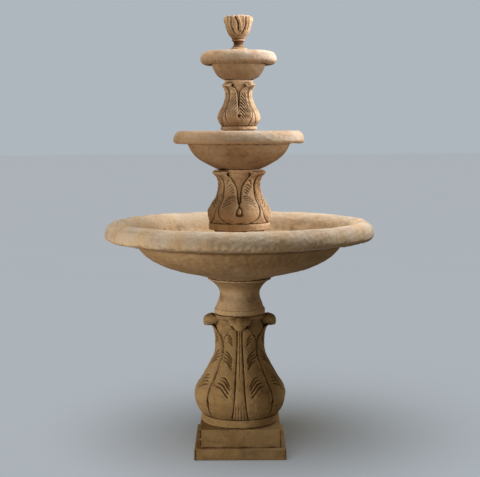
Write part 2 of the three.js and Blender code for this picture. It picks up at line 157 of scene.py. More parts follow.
def blurred(grid, reach):
    """Each point averaged with its neighbours, a number of cells each way."""
    for axis in (0, 1):
        grid = sum(np.roll(grid, k, axis=axis) for k in range(-reach, reach + 1)) / (2 * reach + 1)
    return grid


def waves(grid, wavelength, seed, count=9):
    """Smooth noise of about one unit: a few sine waves in random directions."""
    draw = np.random.default_rng(seed)
    value = np.zeros(grid.shape[:2])
    for _ in range(count):
        direction = draw.normal(size=3)
        direction *= 2 * math.pi / (wavelength * draw.uniform(0.7, 1.5) * np.linalg.norm(direction))
        value += np.sin(grid @ direction + draw.uniform(0, 2 * math.pi))
    return value / math.sqrt(count / 2)


def hollows(grid, reach, depth):
    """How far each point lies under (painted as shade) or over (painted as a highlight) its surroundings,
    from 0 to 1.
    """
    below = np.sum((blurred(grid, reach) - grid) * normals(grid), axis=2) / depth
    return np.clip(below, 0, 1), np.clip(-below, 0, 1)


def weathered(grid, seed, wear=1.0):
    """A cast surface that isn't quite true, with its sharp edges a little eaten away."""
    facing = normals(grid)
    uneven = 0.45 * waves(grid, 90, seed) + 0.22 * waves(grid, 28, seed + 1)
    _, edge = hollows(grid, 3, 1.2)
    bitten = edge * np.clip(waves(grid, 16, seed + 2) + 0.2, 0, 2) * 0.9
    return grid + facing * ((uneven - bitten) * wear)[:, :, None]


def grid_object(name, grid, reach=4, depth=2.2, painted_shade=0, bloom_and_light=0):
    """A closed piece, facing outward, from a grid that joins up both ways round.

    Its point attributes are what the stone finish reads: how far each point lies in a hollow and how
    dark a cut line or crease there is, painted as shade; how far it stands out, painted as a highlight;
    and a paler lip tone, which on the upper bowls is painted light from the right.
    """
    rows, columns = grid.shape[:2]
    hollow_shade, edge = hollows(grid, reach, depth)
    shades = {"hollow_shade": np.maximum(hollow_shade, painted_shade), "edge": edge,
              "bloom_and_light": np.broadcast_to(bloom_and_light, edge.shape)}
    index = np.arange(rows * columns).reshape(rows, columns)
    right, up = np.roll(index, -1, axis=1), np.roll(index, -1, axis=0)
    faces = np.stack([index, right, np.roll(up, -1, axis=1), up], axis=2).reshape(-1, 4)
    a, b, c, d = (grid.reshape(-1, 3)[faces[:, k]] for k in range(4))
    volume = np.sum(a * np.cross(b, c)) + np.sum(a * np.cross(c, d))
    if volume < 0:
        faces = faces[:, [0, 3, 2, 1]]
    mesh = bpy.data.meshes.new(name)
    mesh.vertices.add(rows * columns)
    mesh.vertices.foreach_set("co", (grid * MM).astype(np.float32).ravel())
    mesh.loops.add(faces.size)
    mesh.loops.foreach_set("vertex_index", faces.astype(np.int32).ravel())
    mesh.polygons.add(len(faces))
    mesh.polygons.foreach_set("loop_start", np.arange(0, faces.size, 4, dtype=np.int32))
    mesh.polygons.foreach_set("loop_total", np.full(len(faces), 4, dtype=np.int32))
    mesh.polygons.foreach_set("use_smooth", np.ones(len(faces), dtype=bool))
    for label, values in shades.items():
        attribute = mesh.attributes.new(label, "FLOAT", "POINT")
        attribute.data.foreach_set("value", values.astype(np.float32).ravel())
    mesh.update(calc_edges=True)
    mesh.validate()
    return placed(name, mesh)


def lit_from_right(columns):
    """How much each column of a bowl's lip is painted pale, as painted light from the right: least on the
    left side, most on the right.
    """
    angle = np.linspace(0, 2 * math.pi, columns, endpoint=False)
    return (0.2 + 0.8 * smoothstep(-0.75, 0.35, np.cos(angle)))[None, :]


# ---- Finishes ----


class Finish:
    """A node material, built up from a few kinds of node."""

    def __init__(self, name):
        self.material = bpy.data.materials.new(name)
        self.material.use_nodes = True
        self.tree = self.material.node_tree
        self.shader = self.tree.nodes["Principled BSDF"]
        self.place = self.tree.nodes.new("ShaderNodeTexCoord").outputs["Object"]

    def put(self, value, socket):
        if isinstance(value, bpy.types.NodeSocket):
            self.tree.links.new(value, socket)
        else:
            socket.default_value = value

    def node(self, kind, output, inputs, **settings):
        """One output of a new node, once its settings and inputs are in."""
        node = self.tree.nodes.new("ShaderNode" + kind)
        for setting, value in settings.items():
            setattr(node, setting, value)
        for socket, value in inputs.items():
            self.put(value, node.inputs[socket])
        return node.outputs[output]

    def noise(self, scale, detail=3.0, roughness=0.55, stretch=(1, 1, 1), distortion=0.0):
        place = self.node("Mapping", "Vector", {"Vector": self.place, "Scale": stretch})
        return self.node("TexNoise", "Fac", {"Vector": place, "Scale": scale, "Detail": detail,
                                             "Roughness": roughness, "Distortion": distortion})

    def cells(self, scale):
        return self.node("TexVoronoi", "Distance", {"Vector": self.place, "Scale": scale})

    def ramp(self, value, low, high, start=0.0, end=1.0):
        limits = {"From Min": low, "From Max": high, "To Min": start, "To Max": end}
        return self.node("MapRange", "Result", {"Value": value, **limits},
                         interpolation_type="SMOOTHSTEP")

    def maths(self, operation, first, second):
        return self.node("Math", "Value", {0: first, 1: second}, operation=operation)

    def mix(self, share, first, second):
        return self.node("Mix", "Result", {"Factor": share, "A": first, "B": second},
                         data_type="RGBA")

    def attribute(self, name):
        return self.node("Attribute", "Fac", {}, attribute_name=name)

    def facing_up(self):
        """How far the surface faces up: 1 on top, -1 underneath."""
        return self.node("SeparateXYZ", "Z", {"Vector": self.node("NewGeometry", "Normal", {})})

    def bump(self, height, distance, strength, under=None):
        inputs = {"Distance": distance, "Strength": strength, "Height": height}
        if under is not None:
            inputs["Normal"] = under
        return self.node("Bump", "Normal", inputs)

    def finish(self, colour, roughness, normal):
        self.put(colour, self.shader.inputs["Base Color"])
        self.put(roughness, self.shader.inputs["Roughness"])
        self.put(normal, self.shader.inputs["Normal"])
        return self.material


def colour(red, green, blue):
    """A surface colour given as it looks on a screen, from 0 to 255, as linear light."""
    def linear(value):
        share = value / 255
        return share / 12.92 if share <= 0.04045 else ((share + 0.055) / 1.055) ** 2.4
    return (linear(red), linear(green), linear(blue), 1.0)


def stone(name, body, pale, umber, lichen, bloom_and_light, under):
    """Tinted cast stone: mottled and streaked by run-off, with painted shade in its hollows, its cut
    lines and on faces turned down, a painted highlight on what stands out, and a paler lip tone.
    """
    f = Finish(name)
    mottle = f.ramp(f.noise(5.5, 5, 0.6, distortion=0.6), 0.36, 0.66)
    patches = f.ramp(f.noise(17, 4, 0.6, distortion=0.4), 0.52, 0.74, end=0.45)
    clouds = f.ramp(f.noise(3.2, 3, 0.5, stretch=(1, 1, 1.6)), 0.5, 0.72, end=0.45)
    runs = f.ramp(f.noise(30, 4, 0.6, stretch=(1, 1, 0.09)), 0.5, 0.78, end=0.12)
    bands = f.ramp(f.noise(26, 4, 0.6, stretch=(0.22, 0.22, 1), distortion=0.8), 0.5, 0.74, end=0.34)
    speckle = f.ramp(f.noise(150, 3, 0.65), 0.48, 0.7, end=0.6)
    grain = f.noise(420, 2, 0.7)
    pits = f.ramp(f.cells(260), 0.0, 0.16, start=1.0, end=0.0)
    sandy = f.ramp(f.noise(900, 1, 0.5), 0.3, 0.7)
    hollow_shade = f.attribute("hollow_shade")
    edge = f.attribute("edge")
    cover = f.maths("MULTIPLY", f.attribute("bloom_and_light"), f.ramp(f.noise(9, 5, 0.65), 0.3, 0.62, 0.25, 1.0))
    tone = f.mix(mottle, body, pale)
    tone = f.mix(patches, tone, umber)
    tone = f.mix(clouds, tone, lichen)
    # The paler lip tone: on the upper bowls, painted light from the right.
    tone = f.mix(cover, tone, bloom_and_light)
    tone = f.mix(bands, tone, umber)
    tone = f.mix(runs, tone, umber)
    # Painted shade: faces turned down are mixed towards umber, by up to under.
    tone = f.mix(f.ramp(f.facing_up(), -0.15, -0.75, end=under), tone, umber)
    # Painted highlight: what stands out is mixed towards the pale tone.
    tone = f.mix(f.ramp(edge, 0.12, 0.8, end=0.5), tone, pale)
    # Painted shade: hollows, cut lines and the crease under each lip are mixed towards umber.
    tone = f.mix(f.ramp(hollow_shade, 0.06, 0.7, end=0.9), tone, umber)
    tone = f.mix(speckle, tone, f.mix(0.45, tone, umber))
    tone = f.mix(f.ramp(grain, 0.3, 0.7, end=0.35), tone, f.mix(0.35, tone, umber))
    tone = f.mix(f.maths("MULTIPLY", pits, 0.35), tone, umber)
    rough = f.ramp(grain, 0.2, 0.8, start=0.82, end=0.97)
    coarse = f.bump(f.noise(120, 4, 0.68), 0.0026, 0.8)
    fine = f.bump(sandy, 0.0005, 0.5, under=coarse)
    sunk = f.bump(f.maths("SUBTRACT", 1.0, pits), 0.0006, 0.5, under=fine)
    f.shader.inputs["Specular IOR Level"].default_value = 0.25
    return f.finish(tone, rough, sunk)


DARK_STONE = stone("dark_cast_stone", body=colour(150, 122, 82), pale=colour(174, 146, 106),
                   umber=colour(66, 44, 20), lichen=colour(136, 122, 96), bloom_and_light=colour(160, 138, 108),
                   under=0.3)
WARM_STONE = stone("warm_cast_stone", body=colour(184, 152, 112), pale=colour(206, 178, 142),
                   umber=colour(90, 62, 30), lichen=colour(174, 160, 142), bloom_and_light=colour(198, 185, 168),
                   under=0.55)
BOWL_STONE = stone("bowl_cast_stone", body=colour(160, 126, 90), pale=colour(184, 154, 120),
                   umber=colour(76, 48, 25), lichen=colour(160, 140, 120), bloom_and_light=colour(200, 187, 174),
                   under=0.4)
PALE_STONE = stone("pale_cast_stone", body=colour(202, 166, 128), pale=colour(222, 192, 158),
                   umber=colour(82, 54, 30), lichen=colour(196, 174, 150), bloom_and_light=colour(200, 187, 174),
                   under=0.4)


def moulded(name, base, shade, roughness, grain=700, depth=0.0002):
    """Moulded plastic or rubber with a fine matt grain and a little dust."""
    f = Finish(name)
    cloud = f.ramp(f.noise(28, 4, 0.6), 0.35, 0.7)
    grit = f.noise(grain, 2, 0.6)
    rough = f.ramp(f.noise(60, 3, 0.5), 0.3, 0.7, start=roughness - 0.08, end=roughness + 0.1)
    return f.finish(f.mix(cloud, base, shade), rough, f.bump(grit, depth, 0.4))


def brass(name):
    """Turned brass, dulled where water has stood on it."""
    f = Finish(name)
    tarnish = f.ramp(f.noise(45, 4, 0.6, distortion=0.5), 0.42, 0.7)
    rings = f.noise(600, 1, 0.5, stretch=(0.02, 0.02, 1))
    f.shader.inputs["Metallic"].default_value = 1.0
    tone = f.mix(tarnish, colour(206, 168, 92), colour(122, 98, 54))
    return f.finish(tone, f.ramp(tarnish, 0, 1, start=0.26, end=0.5), f.bump(rings, 0.0001, 0.4))


def vinyl(name):
    """Clear vinyl tube, a little cloudy with use."""
    f = Finish(name)
    cloud = f.ramp(f.noise(34, 3, 0.5), 0.35, 0.7)
    f.shader.inputs["Transmission Weight"].default_value = 0.75
    f.shader.inputs["IOR"].default_value = 1.5
    tone = f.mix(cloud, colour(226, 232, 226), colour(196, 206, 196))
    return f.finish(tone, f.ramp(cloud, 0, 1, start=0.12, end=0.3), f.bump(cloud, 0.0003, 0.3))


RUBBER = moulded("black_rubber", colour(34, 33, 32), colour(58, 56, 52), 0.72)
BLACK_PLASTIC = moulded("pump_black_plastic", colour(38, 41, 45), colour(56, 60, 63), 0.42)
GREY_PLASTIC = moulded("pump_grey_plastic", colour(96, 101, 106), colour(122, 126, 128), 0.45)
CERAMIC = moulded("white_ceramic", colour(236, 234, 226), colour(222, 219, 208), 0.2, depth=0.00005)
MAGNET = moulded("ferrite_magnet", colour(70, 69, 70), colour(52, 51, 52), 0.5)
BRASS = brass("dulled_brass")
VINYL = vinyl("clear_vinyl")


def mounted(piece, material, node):
    """Gives a piece its finish, and puts it on the body of the CAD node that it stands for."""
    piece.data.materials.clear()
    piece.data.materials.append(material)
    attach(piece, BODY_OF[node])
    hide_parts(node)
    return piece


# ---- Carved leaves ----

LEAVES = 4
LEAF = 2 * math.pi / LEAVES


def leaf_angle(columns, turn):
    """Each column's signed angle from the midrib of its own leaf."""
    angle = np.linspace(0, 2 * math.pi, columns, endpoint=False) - turn
    return angle - LEAF * np.round(angle / LEAF)


def stroke(across, height, points, width):
    """A line cut through a few points: 1 along its middle, tapering out at both ends."""
    nearest = np.full(across.shape, 1e9)
    along = np.zeros(across.shape)
    steps = len(points) - 1
    for k, ((x0, y0), (x1, y1)) in enumerate(zip(points[:-1], points[1:])):
        dx, dy = x1 - x0, y1 - y0
        t = np.clip(((across - x0) * dx + (height - y0) * dy) / (dx * dx + dy * dy), 0, 1)
        distance = np.hypot(across - x0 - t * dx, height - y0 - t * dy)
        closer = distance < nearest
        nearest = np.where(closer, distance, nearest)
        along = np.where(closer, (k + t) / steps, along)
    return ridge(nearest, width) * (1 - np.abs(2 * along - 1) ** 7)


def veins(angle, radius, height, starts, ends, bow, width):
    """Curved veins, each from one (degrees, height) to another, bowed upward or down."""
    cut = np.zeros(height.shape)
    across = angle * radius
    for (a0, h0), (a1, h1) in zip(starts, ends):
        middle = (math.radians(a0 + a1) / 2, (h0 + h1) / 2 + bow)
        bend = smooth([(math.radians(a0), h0), middle, (math.radians(a1), h1)], 9)
        scale = np.interp(bend[:, 1], height[:, 0], radius[:, 0])
        points = list(zip(bend[:, 0] * scale, bend[:, 1]))
        cut = np.maximum(cut, stroke(across, height, points, width))
    return cut


def over_tip(root, gap, tip, leaf, rows):
    """The rows from a body's last ring over its curled leaf tips, and up the gaps between them.

    tip is a list of (radius, height, half width of the tip there): beyond that half width the
    knot falls back to the gap's own line. Also returns the gap's line, and how far each point
    lies inside its tip's edge.
    """
    tip = np.array([(*root, tip[0][2]), *tip])
    curled = np.vstack([tip[:, :2], gap[-1:]])
    between = smooth([root, *gap], len(curled))
    wide = np.append(tip[:, 2], tip[-1, 2])[:, None]
    beside = leaf[None, :] * between[:, :1] / wide
    share = np.stack([np.clip(1 - beside**4, 0, 1), np.clip(1 - beside**6, 0, 1)], axis=2)
    knots = between[:, None] + (curled - between)[:, None] * share
    fine = np.linspace(0, len(curled) - 1, 400)
    steps = np.hypot(*np.diff(through(curled, fine), axis=0).T)
    length = np.concatenate([[0], np.cumsum(steps)])
    places = np.interp(np.linspace(0, length[-1], rows), length, fine)
    return through(knots, places), through(between, places), through(wide * (1 - beside), places)


def carved(node, material, body_line, gap, tip, collar, bore, columns, rows, turn, parting, relief,
           depth, seed):
    """A pedestal of leaves with curled tips: a body, the tips with gaps between, and a collar.

    parting is half the width of the gap between two leaves, by height. relief gives the form and the
    cut lines at each point of the face.
    """
    foot, head, _ = extent(node)
    body_rows, tip_rows, collar_rows = rows
    body = spaced(body_line, body_rows)
    leaf = leaf_angle(columns, turn)
    tips, between, inside_tips = over_tip(tuple(body[-1]), gap, tip, np.abs(leaf), tip_rows)
    top = spaced(np.vstack([gap[-1:], collar, [(collar[-1][0], head - foot)]]), collar_rows)
    inner = joined(straight((top[-1][0], head - foot), (bore, head - foot), 10),
                   straight((bore, head - foot), (bore, 0), 40),
                   straight((bore, 0), tuple(body[0]), 14))

    def rings(outline):
        return np.broadcast_to(outline[:, None], (len(outline), columns, 2))

    line = np.concatenate([rings(body), tips[1:], rings(top[1:]), rings(inner[1:-1])])
    radius, height = line[:, :, 0], line[:, :, 1]
    angle = np.linspace(0, 2 * math.pi, columns, endpoint=False)
    grid = np.stack([radius * np.cos(angle), radius * np.sin(angle), height + foot], axis=2)
    face = np.concatenate([rings(body), rings(between[1:])])
    half = (LEAF / 2 - np.abs(leaf)) * face[:body_rows, :, 0]
    inside = np.concatenate([half - table(face[:body_rows, :, 1], parting), inside_tips[1:]])
    full = np.broadcast_to(leaf, inside.shape)
    form, lines = relief(full, face[:, :, 0], face[:, :, 1], inside)
    last = face.shape[0] - 3
    raised = np.zeros(radius.shape)
    raised[:last] = (form - lines)[:last]
    # Painted shade: the carved lines are also painted darker, the deeper the darker.
    painted_shade = np.zeros(radius.shape)
    painted_shade[:last] = np.clip(lines / 6, 0, 0.95)[:last]
    grid = weathered(grid + normals(grid) * raised[:, :, None], seed)
    piece = grid_object(f"carved_{node}", grid, 4, depth, painted_shade)
    return mounted(piece, material, node)


def lower_pedestal():
    """The tall carved baluster, with a leaf facing each side of the plinth."""
    mid_band = [(365, 10.6), (273, 15.3), (161, 21.9), (84, 28), (47, 34)]
    low_veins = ([(14.5, 138), (14, 154), (13.5, 170), (14.5, 184)],
                 [(39.5, 184), (38.5, 197), (37, 209), (34, 219)], 14)
    middle_veins = ([(14.5, 248), (15, 261), (15, 274), (15.5, 287)],
                    [(37, 286), (39, 300), (38.5, 313), (37, 325)], 9)
    high_veins = ([(15.7, 349), (16.2, 362), (16.8, 375)], [(30, 372), (29, 385), (27, 398)], 4)

    def relief(leaf, radius, height, inside):
        leaf = np.abs(leaf)
        across = leaf * radius
        half = LEAF / 2 * radius
        band = table(height, mid_band)
        standing = smoothstep(34, 46, height)
        falling = 1 - smoothstep(400, 425, height)
        edge_width = table(height, [(40, 6), (250, 8), (340, 7), (400, 5)])
        form = -5.5 * (1 - smoothstep(0, 1, inside / edge_width)) * falling
        form += 2.6 * ridge(inside - edge_width - 2, 4) * falling
        notch = smoothstep(280, 300, height) * (1 + np.cos(2 * math.pi * (height - across * 0.6) / 15))
        form -= 3.0 * notch * ridge(inside - edge_width * 0.9, 5) * falling
        field = np.clip((across - band) / np.maximum(half - band - 12, 1), 0, 1)
        form += 3.4 * np.sin(math.pi * field) * falling
        form += 2.6 * np.clip(1 - (across / band) ** 2, 0, 1)
        lines = 4.2 * ridge(inside, 2.1) * (0.25 + 0.75 * falling)
        lines += 4.4 * ridge(across - band, 2.7) * falling
        lines += 2.4 * ridge(across, 2.0) * smoothstep(205, 235, height) * falling
        stalk = 1 - smoothstep(95, 125, height)
        lines += 2.6 * stalk * (ridge(across - 0.2 * band, 2.2) + ridge(across - 0.62 * band, 2.2))
        for starts, ends, bow in (low_veins, middle_veins, high_veins):
            lines += 5 * veins(leaf, radius, height, starts, ends, bow, 3.1) * falling
        hole = np.hypot((half - across) / 6.5, (height - 111) / 11)
        lines += 6.5 * ridge(hole, 0.95)
        return form * standing, lines * standing

    body = joined(
        straight((158, 0), (168, 0), 3), arc((166, 6), 6, 6, -90, 0, 6),
        straight((172, 6), (172, 28), 8), arc((166, 28), 6, 7, 0, 90, 6),
        smooth([(167, 36), (181, 52), (192, 73), (199, 103), (201, 126), (193, 154), (184, 171),
                (174, 185), (165, 200), (155, 218), (144, 236), (134, 254), (125, 273), (116, 291),
                (111, 309), (108, 331), (108, 373), (112, 400)], 140))
    return carved(
        "lower_pedestal", DARK_STONE, body, gap=[(109, 420), (107, 443), (106, 456), (112, 464)],
        tip=[(116, 412, 56), (124, 426, 48), (136, 432, 38), (147, 430, 27), (154, 427, 19),
             (158, 434, 24), (159, 448, 42), (155, 463, 49), (142, 473, 51), (127, 476, 53)],
        collar=[(113, 466)], bore=60, columns=560, rows=(138, 52, 8), turn=0,
        parting=[(330, 0), (365, 3), (385, 11), (400, 30)], relief=relief, depth=2.4, seed=11)


def middle_pedestal():
    """The second carved pedestal, standing on the pump chamber with a gap facing each side."""
    strip = [(164, 2.6), (132, 6), (99, 6), (69, 13)]
    veins_high = ([(22, 212), (17.6, 200), (14.5, 190), (13, 179), (12, 168)],
                  [(34, 199), (34, 185), (30, 174), (25, 166), (21, 157)], 3)
    veins_low = ([(5, 148), (6.5, 140), (8, 131), (10, 122)],
                 [(30, 138), (34, 127), (36, 113), (35.7, 99)], 6)

    def relief(leaf, radius, height, inside):
        leaf = np.abs(leaf)
        gap = (LEAF / 2 - leaf) * radius
        across = leaf * radius
        parted = smoothstep(106, 122, height)
        falling = 1 - smoothstep(212, 240, height)
        standing = smoothstep(27, 36, height)
        form = -6.5 * (1 - smoothstep(0, 4, inside)) * parted * falling
        form += 2.4 * ridge(inside - 8, 3.2) * parted * falling
        ruffle = ridge(inside - 5, 4) * smoothstep(118, 130, height) * falling
        form -= 1.6 * ruffle * (1 + np.cos(2 * math.pi * height / 13))
        drop = np.clip((74 - height) / 48, 0, 0.999)
        band = table(height, strip) + 92 * (1 - np.sqrt(1 - drop**2))
        field = np.clip((across - band) / np.maximum(LEAF / 2 * radius - band - 10, 1), 0, 1)
        form += 3.4 * np.sin(math.pi * field) * falling
        form += 2.4 * np.clip(1 - (across / band) ** 2, 0, 1) * falling
        bead = np.hypot(gap / 10 * (1 + 0.5 * (height - 86) / 19), (height - 86) / 19)
        form += 2.6 * np.clip(1 - bead**2, 0, 1)
        lines = 4.6 * ridge(inside, 2.2) * parted * (0.35 + 0.65 * falling)
        lines += 3.6 * ridge(gap, 1.8) * smoothstep(100, 106, height) * (1 - smoothstep(122, 134, height))
        lines += 4.2 * ridge(across - band, 2.3) * falling
        for starts, ends, bow in (veins_high, veins_low):
            lines += 3.2 * veins(LEAF / 2 - leaf, radius, height, starts, ends, bow, 2.3) * falling
        lines += 5.5 * ridge(bead - 1, 0.3)
        return form * standing, lines * standing

    body = joined(
        straight((118, 0), (128, 0), 3), arc((129, 5), 6, 5, -90, 0, 5),
        straight((135, 5), (135, 24), 6), arc((129, 24), 6, 6, 0, 80, 5),
        smooth([(129, 32), (134, 45), (138, 62), (137, 82), (126, 107), (106, 136), (94, 172),
                (93, 200)], 80))
    return carved(
        "middle_pedestal", PALE_STONE, body, gap=[(94, 216), (97, 232), (99, 248), (101, 255)],
        tip=[(96, 210, 52), (101, 221, 47), (111, 232, 41), (124, 240, 36), (138, 246, 32),
             (149, 251, 28), (146, 255, 27), (131, 257.5, 29), (114, 258, 33)],
        collar=[(101.5, 256.5)], bore=46, columns=440, rows=(100, 48, 8), turn=LEAF / 2,
        parting=[(109, 0), (124, 4), (145, 7), (170, 9), (190, 14), (204, 22)],
        relief=relief, depth=1.9, seed=23)


def top_pedestal():
    """The smallest carved pedestal, between the middle and the top bowl."""
    panel = [(80, 3.0), (48, 7.7), (21, 13.5)]

    def relief(leaf, radius, height, inside):
        plain_side = leaf > 0
        leaf = np.abs(leaf)
        side = LEAF / 2 - leaf
        gap, across = side * radius, leaf * radius
        opened = smoothstep(94, 108, height)
        falling = 1 - smoothstep(162, 182, height)
        standing = smoothstep(17, 23, height)
        line = np.radians(table(height, panel)) * radius
        form = -4.6 * (1 - smoothstep(0, 3.5, inside)) * opened * falling
        form += 1.8 * ridge(inside - 6, 2.6) * opened * falling
        field = np.clip((across - line) / np.maximum(LEAF / 2 * radius - line - 6, 1), 0, 1)
        form += 2.4 * np.sin(math.pi * field) * falling
        hole = np.hypot(gap / 7, (height - 60) / 9)
        form += 1.4 * ridge(hole - 1.4, 0.24)
        lines = 3.8 * ridge(inside, 1.8) * opened * (0.4 + 0.6 * falling)
        lines += 3.6 * ridge(gap, 1.8) * smoothstep(64, 72, height) * (1 - opened)
        lines += 3.4 * ridge(across - line, 1.9) * falling
        slope = height + 0.75 * gap + 0.012 * gap**2
        barbs = np.clip(np.cos(2 * math.pi * slope / 14), 0, 1)
        barbs *= smoothstep(3, 7, inside) * smoothstep(4, 10, across - line)
        barbs *= smoothstep(38, 60, height) * (1 - smoothstep(148, 164, height))
        lines += np.where(plain_side, 1.4, 5.0) * barbs
        lines += 4.6 * (1 - smoothstep(0.6, 1.1, hole))
        return form * standing, lines * standing

    body = joined(
        straight((66, 0), (75, 0), 3), arc((75, 4), 4, 4, -90, 0, 5),
        straight((79, 4), (79, 12), 4), arc((75, 12), 4, 4, 0, 80, 5),
        smooth([(75.5, 17), (81, 26), (88, 36), (93, 56), (86, 80), (71, 104), (60, 133),
                (57, 156)], 70))
    return carved(
        "top_pedestal", PALE_STONE, body, gap=[(58, 172), (59, 185), (60, 195), (61, 200)],
        tip=[(59, 164, 41), (62, 173, 38), (69, 181, 33), (78, 186, 27), (87, 189, 22),
             (92, 193, 18), (88, 198, 18), (78, 201, 20), (69, 201.8, 24)],
        collar=[(61.5, 202)], bore=30, columns=400, rows=(96, 42, 8), turn=LEAF / 2,
        parting=[(96, 0), (110, 1.5), (130, 2.6), (150, 4), (158, 5.5)],
        relief=relief, depth=1.4, seed=37)


def finial():
    """The tulip at the top: two wrapped petals that part at the front and at the back."""
    foot, head, _ = extent("finial")
    tall = head - foot - 3
    outer = joined(
        straight((18, 0), (34, 0), 5), arc((35, 3), 3, 3, -90, 0, 5), arc((33, 7), 5, 4, 0, 90, 5),
        smooth([(33, 11), (25, 19), (21, 30), (23.5, 40)], 16),
        arc((25, 45), 4.5, 4, -80, 80, 8),
        smooth([(27, 50), (31, 56), (43, 67), (54, 90), (60, 114), (62, 130), (59, 144)], 66),
        smooth([(59, 144), (56, tall), (51, tall - 1), (46, tall - 10)], 14))
    inner = joined(smooth([(46, tall - 10), (43, 118), (34, 88), (20, 72.4)], 30),
                   straight((20, 72.4), (9.4, 72.4), 5), straight((9.4, 72.4), (9.4, 14), 16),
                   straight((9.4, 14), (18, 14), 4), straight((18, 14), (18, 0), 6))
    outline = joined(outer, inner)
    grid = turned(outline + [0, foot], 400)
    height = np.broadcast_to(outline[:, 1:], grid.shape[:2])
    angle = np.arctan2(grid[:, :, 1], grid[:, :, 0]) + math.pi / 2
    sway = 13 * smoothstep(108, 148, height)
    slit = angle - math.pi * np.round(angle / math.pi)
    radius = np.hypot(grid[:, :, 0], grid[:, :, 1])
    apart = np.abs(slit * radius + sway)
    across = np.abs(slit) * radius
    outside = (np.arange(len(outline)) < len(outer) - 12)[:, None] * smoothstep(54, 64, height)
    cup = 34 * np.sqrt(np.clip((height - 64) / 43, 0, 1))
    opened = smoothstep(76, 90, height)
    form = 4.0 * ridge(apart - 10, 6) * opened - 3.5 * ridge(apart, 4) * opened
    form += 2.6 * ridge(across - cup + 7, 5) - 2.5 * (1 - smoothstep(0, 5, cup - across))
    form += 3.0 * ridge(across - cup - 11, 6) * smoothstep(64, 80, height)
    lines = 6.5 * ridge(apart, 3.0) * opened + 5.6 * ridge(across - cup, 3.0) * smoothstep(63, 70, height)
    lines += 4.2 * ridge(across - cup - 20, 2.6) * smoothstep(76, 98, height)
    grid = grid + normals(grid) * ((form - lines) * outside)[:, :, None]
    rim = smoothstep(112, tall, height)
    point = smoothstep(50, 90, np.degrees(np.abs(slit)))
    dip = 4 * ridge(apart, 5) + 2.5 * ridge(np.abs(slit) - 0.62, 0.14) + 8 * point
    curl = 7 * point - 2 * ridge(np.abs(slit) - 0.62, 0.14)
    grid[:, :, 2] -= dip * rim
    grid[:, :, :2] *= (1 + curl * rim / np.maximum(radius, 1))[:, :, None]
    grid = weathered(grid, 41, 0.7)
    grid[:, :, 2] = np.minimum(grid[:, :, 2], head)
    # Painted shade: the lines between the petals are also painted darker.
    painted_shade = np.clip(lines * outside / 5.5, 0, 0.9)
    piece = grid_object("tulip_finial", grid, 4, 1.6, painted_shade)
    return mounted(piece, PALE_STONE, "finial")


# ---- Plain castings ----


def plinth():
    """The square base: a slab, a narrower die on it, and a round core open to the ground."""
    low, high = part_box("plinth")
    slab, top = (high.x - low.x) / 2 / MM, high.z / MM
    die, step, core, corner = slab - 22, 50, 95, 5
    side = np.linspace(-1, 1, 61)[:-1]
    turn = np.radians(np.linspace(0, 90, 9))[:-1]
    ring = []
    for quarter in range(4):
        face = [(1, s, 0, 0) for s in side]
        bend = [(1, 1, math.cos(t) - 1, math.sin(t) - 1) for t in turn]
        for x, y, dx, dy in face + bend:
            for _ in range(quarter):
                x, y, dx, dy = -y, x, -dy, dx
            ring.append((x, y, dx, dy))
    ring = np.array(ring)

    def square(half, rounding):
        flat = ring[:, :2] * np.where(np.abs(ring[:, :2]) < 1, half - rounding, half)
        return flat + ring[:, 2:] * rounding

    rows = []
    steps = joined(
        arc((slab - 5, 5), 5, 5, -90, 0, 5), straight((slab, 5), (slab, step - 4), 14),
        arc((slab - 4, step - 4), 4, 4, 0, 90, 5), straight((slab - 4, step), (die + 3, step), 6),
        arc((die + 3, step + 3), 3, 3, 270, 180, 4), straight((die, step + 3), (die, top - 4), 24),
        arc((die - 4, top - 4), 4, 4, 0, 90, 5))
    for half, height in steps:
        rows.append(np.column_stack([square(half, corner), np.full(len(ring), height)]))
    bearing = np.arctan2(rows[0][:, 1], rows[0][:, 0])
    circle = np.stack([core * np.cos(bearing), core * np.sin(bearing)], axis=1)
    for share in np.linspace(0, 1, 16)[1:]:
        flat = rows[len(steps) - 1][:, :2] * (1 - share) + circle * share
        rows.append(np.column_stack([flat, np.full(len(ring), top)]))
    for height in np.linspace(top, 0, 14)[1:]:
        rows.append(np.column_stack([circle, np.full(len(ring), height)]))
    for share in np.linspace(0, 1, 16)[1:-1]:
        flat = circle * (1 - share) + rows[0][:, :2] * share
        rows.append(np.column_stack([flat, np.zeros(len(ring))]))
    grid = np.array(rows)
    moved = weathered(grid, 5, 1.1)
    moved[:, :, :2] = np.clip(moved[:, :, :2], -slab, slab)
    moved[:, :, 2] = np.clip(moved[:, :, 2], 0, top)
    # Painted shade: the whole block is painted a little darker all over.
    piece = grid_object("plinth_block", moved, 3, 2.6, painted_shade=0.24)
    return mounted(piece, DARK_STONE, "plinth")


def bowl_stem():
    """The flared neck that carries the basin."""
    foot, head, _ = extent("bowl_stem")
    tall = head - foot
    outline = joined(
        straight((50, 0), (104, 0), 10), arc((107, 5), 5, 5, -90, 0, 6), straight((112, 5), (112, 19), 8),
        arc((107, 19), 5, 5, 0, 75, 6),
        smooth([(108, 25), (103, 36), (96, 54), (89, 74), (88, 92), (92, 107), (102, 124), (121, 143),
                (138, 152)], 60),
        straight((140, tall - 3), (140, tall), 3), straight((140, tall), (84, tall), 10),
        straight((84, tall), (84, tall - 30), 6), straight((84, tall - 30), (50, tall - 30), 6),
        straight((50, tall - 30), (50, 0), 24))
    grid = weathered(turned(outline + [0, foot], 260), 53)
    piece = grid_object("flared_bowl_stem", grid, reach=4, depth=2.4)
    return mounted(piece, WARM_STONE, "bowl_stem")


